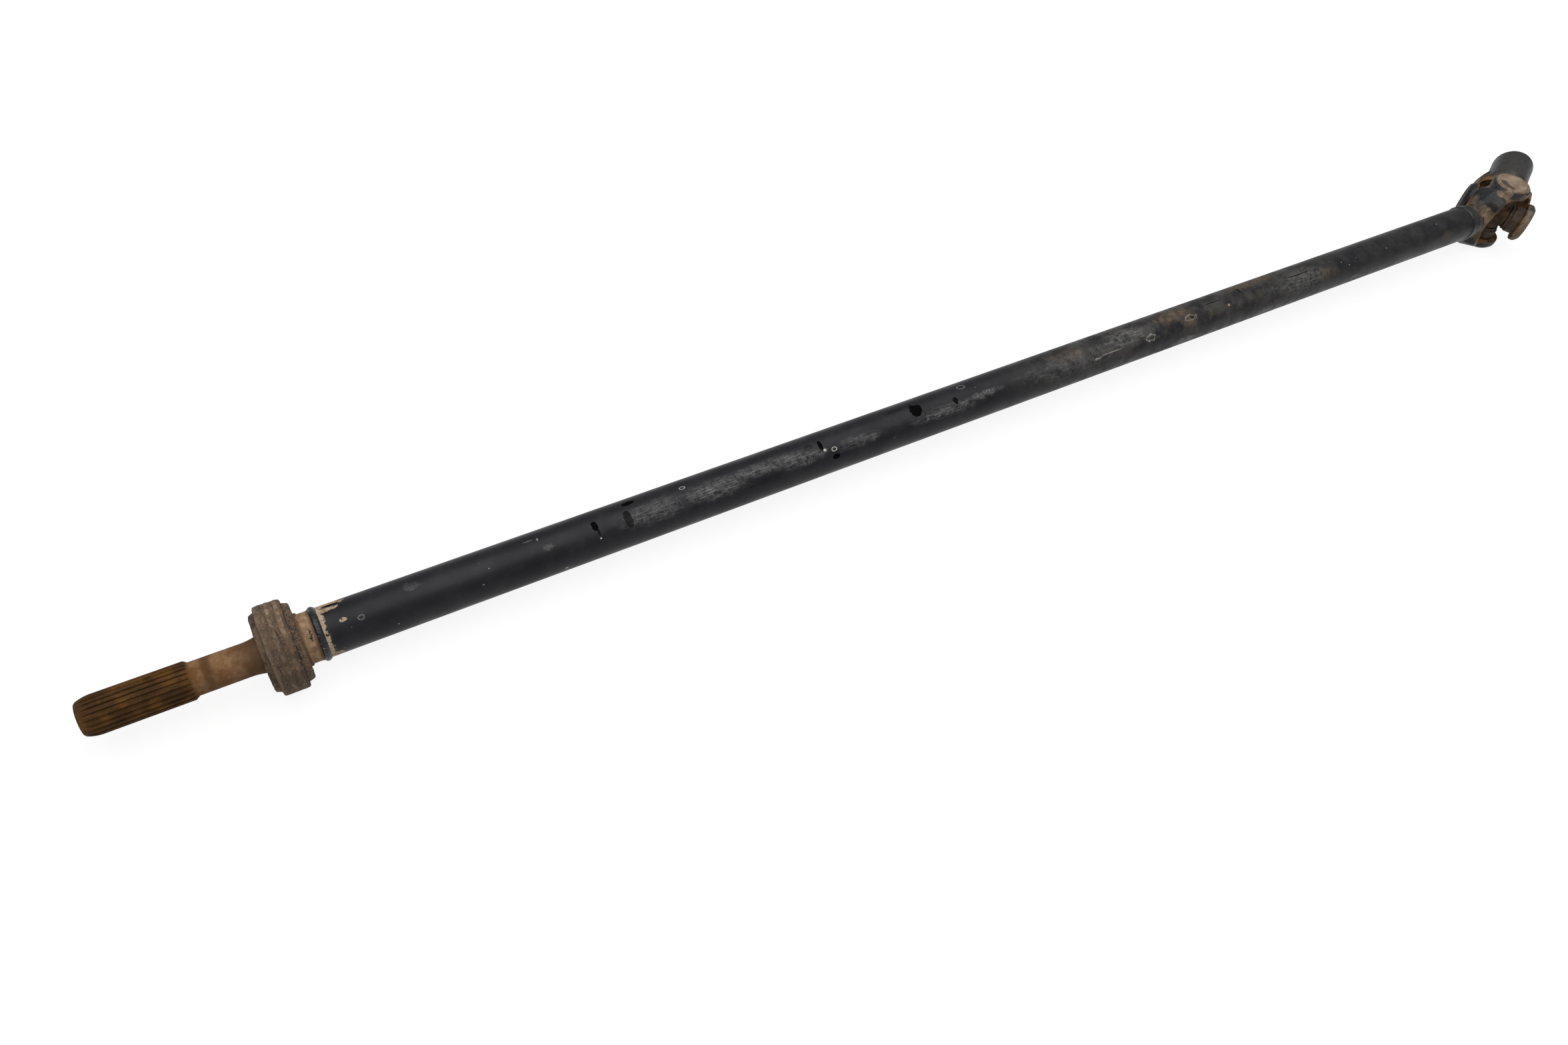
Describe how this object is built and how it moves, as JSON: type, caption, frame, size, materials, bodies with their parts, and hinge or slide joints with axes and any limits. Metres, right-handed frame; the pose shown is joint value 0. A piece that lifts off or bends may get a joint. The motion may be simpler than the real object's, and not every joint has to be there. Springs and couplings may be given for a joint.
{
  "type": "rear drive shaft",
  "caption": "Slender tubular drive shaft with a splined stub and support bearing at one end and a folded universal joint with a splined coupler at the other.",
  "frame": {"origin": "middle of the support bearing's outer ring, on the shaft's axis", "axes": "+X along the shaft from the bearing to the universal joint, +Z along the tube yoke's cross axis, which is up when the shaft lies at rest"},
  "size_m": [1.4972, 0.1013, 0.0734],
  "materials": {
    "stub_steel": "bare steel with a brown film of rust",
    "weld_paint": "glossy black paint over a weld bead",
    "tube_paint": "worn satin blue-black paint",
    "yoke_paint": "satin black paint with dirt in the hollows",
    "bearing_steel": "ground steel",
    "ring_steel": "dull steel under caked grey-brown dirt",
    "slinger_steel": "pressed steel, dark and gritty",
    "cross_steel": "forged steel with orange rust",
    "cup_steel": "drawn steel under tan dirt",
    "clip_steel": "spring steel, dirty",
    "seal_rubber": "matt black rubber",
    "cage_plastic": "brown polyamide"
  },
  "bodies": {
    "shaft": {"stub_shaft": "stub_steel", "front_weld_bead": "weld_paint", "tube": "tube_paint", "rear_weld_bead": "weld_paint", "tube_yoke": "yoke_paint", "bearing_inner_ring": "bearing_steel", "front_slinger": "slinger_steel", "rear_slinger": "slinger_steel", "top_cup": "cup_steel", "bottom_cup": "cup_steel", "top_cup_seal": "seal_rubber", "bottom_cup_seal": "seal_rubber", "top_snap_ring": "clip_steel", "bottom_snap_ring": "clip_steel"},
    "bearing_outer": {"bearing_outer_ring": "ring_steel", "front_seal": "seal_rubber", "rear_seal": "seal_rubber"},
    "ball_cage": {"bearing_balls": "bearing_steel", "bearing_cage": "cage_plastic"},
    "cross": {"joint_cross": "cross_steel"},
    "upright_needles": {"top_needles": "bearing_steel", "bottom_needles": "bearing_steel"},
    "level_needles": {"near_needles": "bearing_steel", "far_needles": "bearing_steel"},
    "coupler": {"coupler_yoke": "yoke_paint", "near_cup": "cup_steel", "far_cup": "cup_steel", "near_cup_seal": "seal_rubber", "far_cup_seal": "seal_rubber", "near_snap_ring": "clip_steel", "far_snap_ring": "clip_steel"}
  },
  "joints": [
    {"name": "support_bearing_turn", "type": "hinge", "parent": "shaft", "child": "bearing_outer", "pos_m": [0, 0, 0], "axis": [1, 0, 0], "continuous": true},
    {"name": "ball_cage_turn", "type": "hinge", "parent": "shaft", "child": "ball_cage", "pos_m": [0, 0, 0], "axis": [1, 0, 0], "continuous": true},
    {"name": "cross_pivot", "type": "hinge", "parent": "shaft", "child": "cross", "pos_m": [1.282, 0, 0], "axis": [0, 0, 1], "range_deg": [-57.5, 2.5]},
    {"name": "upright_needles_turn", "type": "hinge", "parent": "shaft", "child": "upright_needles", "pos_m": [1.282, 0, 0], "axis": [0, 0, 1], "range_deg": [-26, 2]},
    {"name": "coupler_pivot", "type": "hinge", "parent": "cross", "child": "coupler", "pos_m": [1.282, 0, 0], "axis": [0.4617, -0.887, 0], "range_deg": [-34, 26]},
    {"name": "level_needles_turn", "type": "hinge", "parent": "cross", "child": "level_needles", "pos_m": [1.282, 0, 0], "axis": [0.4617, -0.887, 0], "range_deg": [-20, 15.5]}
  ],
  "couplings": [
    {"joint": "ball_cage_turn", "follows": "support_bearing_turn", "ratio": 0.6322},
    {"joint": "upright_needles_turn", "follows": "cross_pivot", "ratio": 0.4349},
    {"joint": "level_needles_turn", "follows": "coupler_pivot", "ratio": 0.5651}
  ]
}
